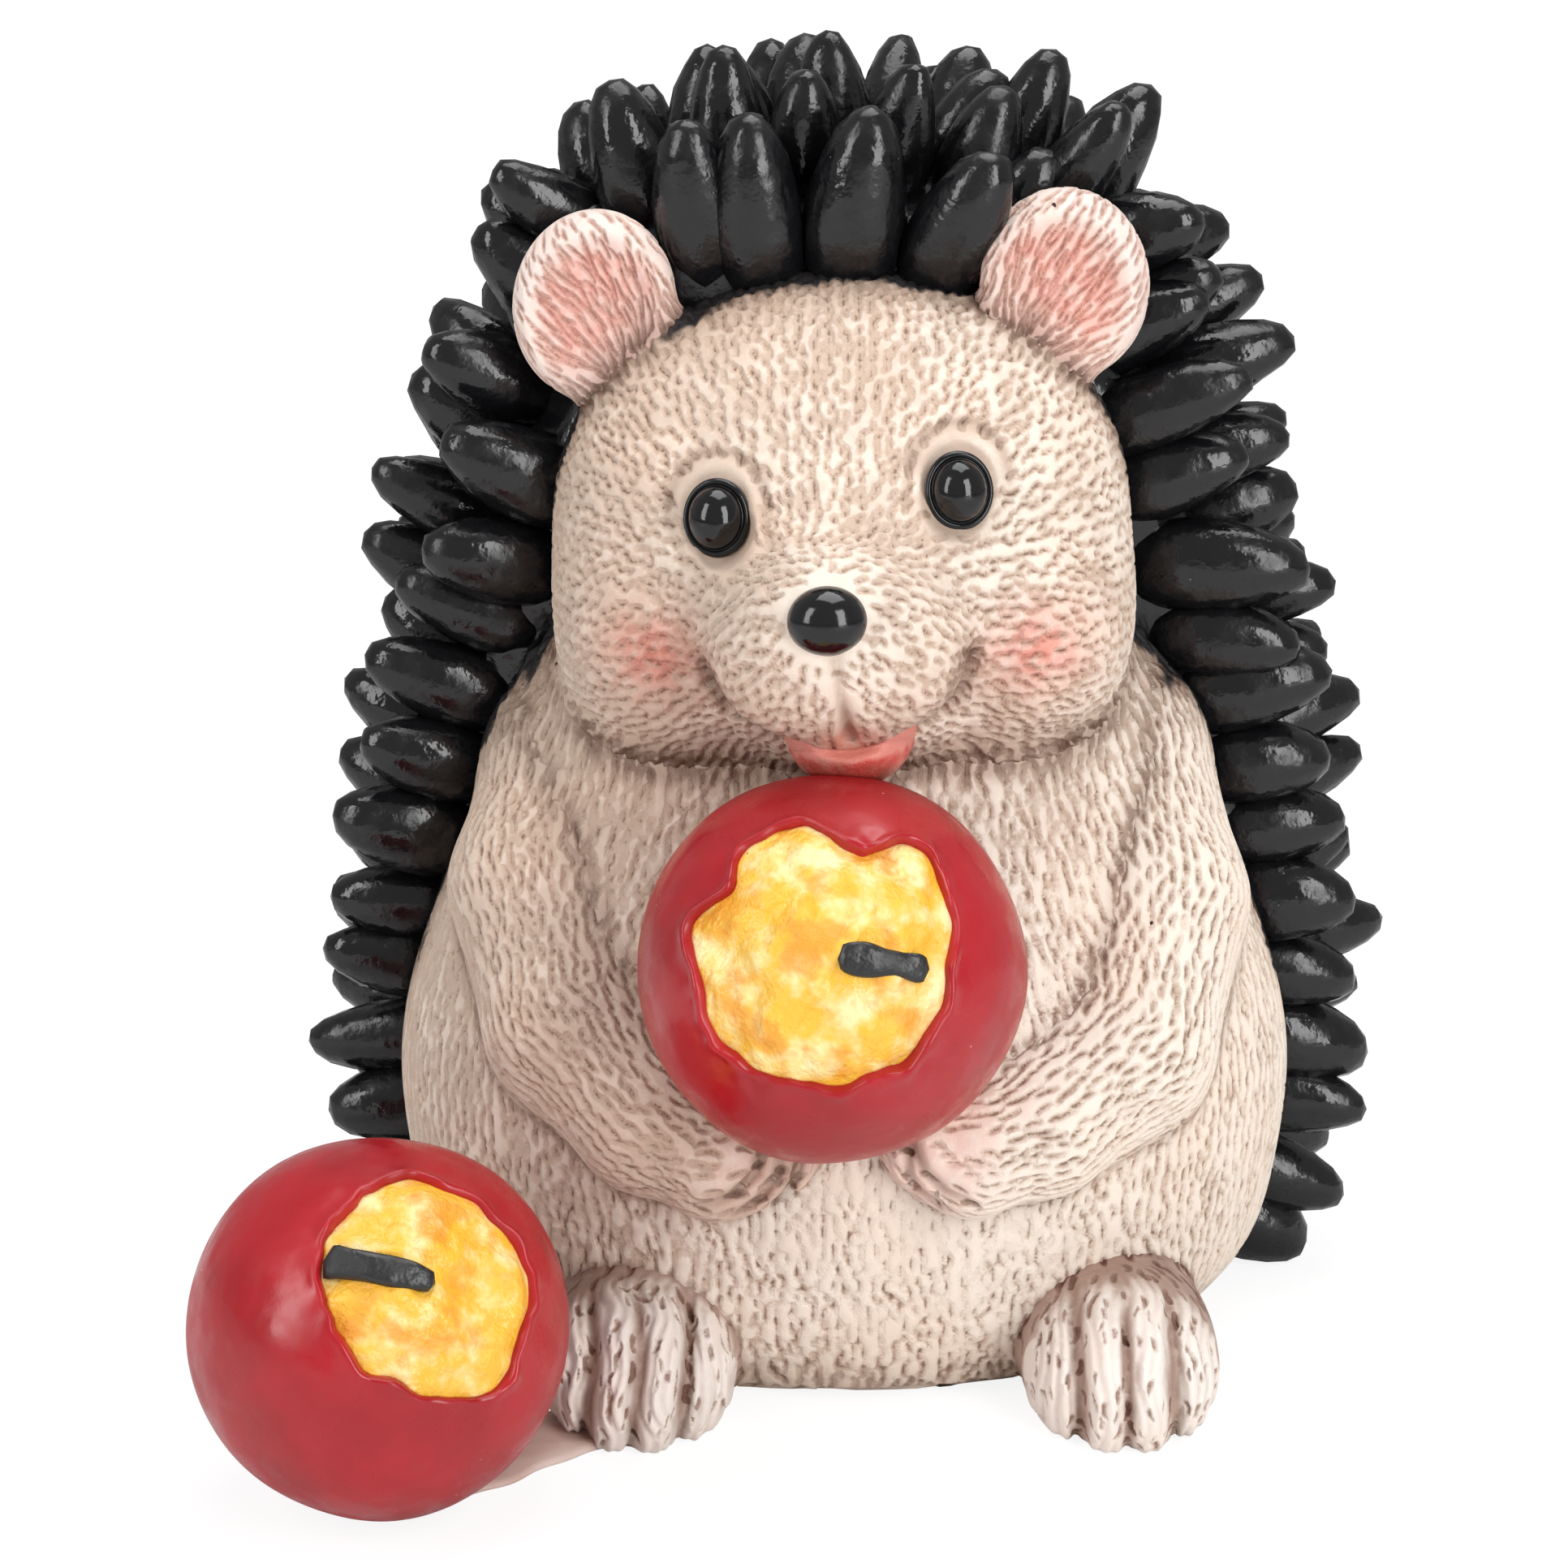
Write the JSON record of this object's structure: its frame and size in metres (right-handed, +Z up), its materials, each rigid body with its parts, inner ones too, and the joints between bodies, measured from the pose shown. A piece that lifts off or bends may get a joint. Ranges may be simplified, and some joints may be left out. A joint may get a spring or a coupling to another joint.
{
  "type": "hedgehog figurine",
  "caption": "Sitting hedgehog ornament with fat black quills and carved pale fur, hugging a cut red apple, with another cut apple beside its foot.",
  "frame": {"origin": "centre of the torso's flat base, on the surface it stands on", "axes": "+Z up, the face looks along -Y, +X to the animal's own left"},
  "size_m": [0.1471, 0.1442, 0.1603],
  "materials": {
    "fur": "carved cast resin, brown wash under dry-brushed cream paint, matt",
    "foot_fur": "carved cast resin, dry-brushed white over brown, matt",
    "ear_pink": "cast resin, pink paint with a pale rim, matt",
    "gloss_black": "cast resin, gloss black paint",
    "mouth_pink": "cast resin, pink satin paint",
    "quill_black": "cast resin, satin black paint",
    "apple_red": "cast resin, gloss crimson paint",
    "flesh_yellow": "cast resin, lumpy, yellow satin paint",
    "seed_black": "cast resin, black satin paint",
    "bare_resin": "thin flash of unpainted cast resin"
  },
  "bodies": {
    "root": {"base_web": "bare_resin", "ground_apple": "apple_red", "ground_apple_flesh": "flesh_yellow", "ground_apple_seed": "seed_black", "head": "fur", "held_apple": "apple_red", "held_apple_flesh": "flesh_yellow", "held_apple_seed": "seed_black", "left_arm": "fur", "left_ear": "ear_pink", "left_eye": "gloss_black", "left_foot": "foot_fur", "mouth": "mouth_pink", "nose": "gloss_black", "quill_backing": "quill_black", "quill_row_01": "quill_black", "quill_row_02": "quill_black", "quill_row_03": "quill_black", "quill_row_04": "quill_black", "quill_row_05": "quill_black", "quill_row_06": "quill_black", "quill_row_07": "quill_black", "quill_row_08": "quill_black", "quill_row_09": "quill_black", "right_arm": "fur", "right_ear": "ear_pink", "right_eye": "gloss_black", "right_foot": "foot_fur", "torso": "fur"}
  },
  "joints": []
}
